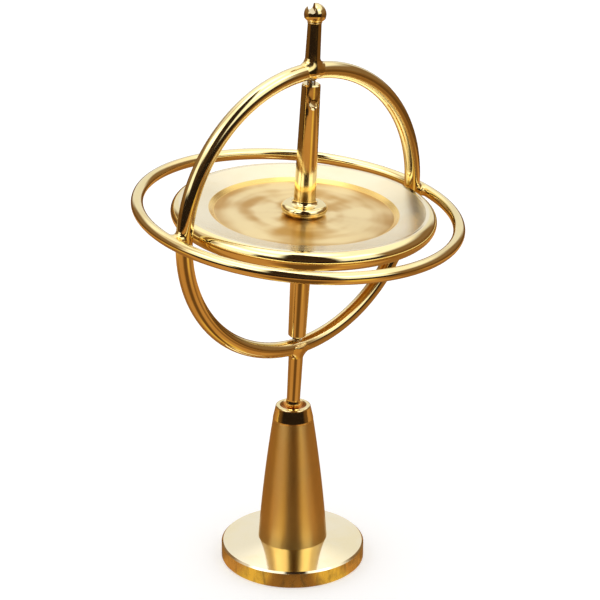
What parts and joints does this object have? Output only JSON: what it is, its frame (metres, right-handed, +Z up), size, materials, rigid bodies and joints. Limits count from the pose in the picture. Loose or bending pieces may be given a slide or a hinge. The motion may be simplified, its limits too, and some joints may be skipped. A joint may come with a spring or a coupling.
{
  "type": "gyroscope on stand",
  "caption": "Brass gyroscope balanced on a small turned stand: flywheel on a tapered spindle in an upright ring with a level guard ring, grooved ball head, ball foot in a dished cup.",
  "frame": {"origin": "centre of the base disc's underside, on the stand's axis", "axes": "+Z up along the stand's axis; the picture looks along +Y with +X to the right"},
  "size_m": [0.065, 0.0649, 0.117],
  "materials": {
    "polished_brass": "mirror polished",
    "wheel_brass": "mirror polished, finely turned",
    "satin_brass": "satin turned",
    "base_brass": "polished top, as-cast side",
    "braze": "polished braze metal",
    "steel": "turned"
  },
  "bodies": {
    "stand": {"base_disc": "base_brass", "base_screw": "steel", "pedestal_cone": "satin_brass"},
    "cup": {"seat_cup": "polished_brass"},
    "frame": {"foot_post": "polished_brass", "frame_ring": "polished_brass", "guard_ring": "polished_brass", "crossing_braze": "braze", "post_braze": "braze", "top_post": "polished_brass", "upper_pivot_cup": "steel", "lower_pivot_cup": "steel"},
    "rotor": {"flywheel": "wheel_brass", "spindle": "polished_brass", "upper_hub_collar": "polished_brass", "lower_hub_collar": "polished_brass", "upper_pivot_pin": "steel", "lower_pivot_pin": "steel"}
  },
  "joints": [
    {"name": "precession", "type": "hinge", "parent": "stand", "child": "cup", "pos_m": [0, 0, 0.03445], "axis": [0, 0, 1], "continuous": true},
    {"name": "lean", "type": "hinge", "parent": "cup", "child": "frame", "pos_m": [0, 0, 0.03445], "axis": [0.848, 0.5299, 0], "range_deg": [-65, 55]},
    {"name": "wheel_spin", "type": "hinge", "parent": "frame", "child": "rotor", "pos_m": [0.00191, -0.00306, 0.07574], "axis": [0.0462, -0.0739, 0.9962], "continuous": true}
  ]
}
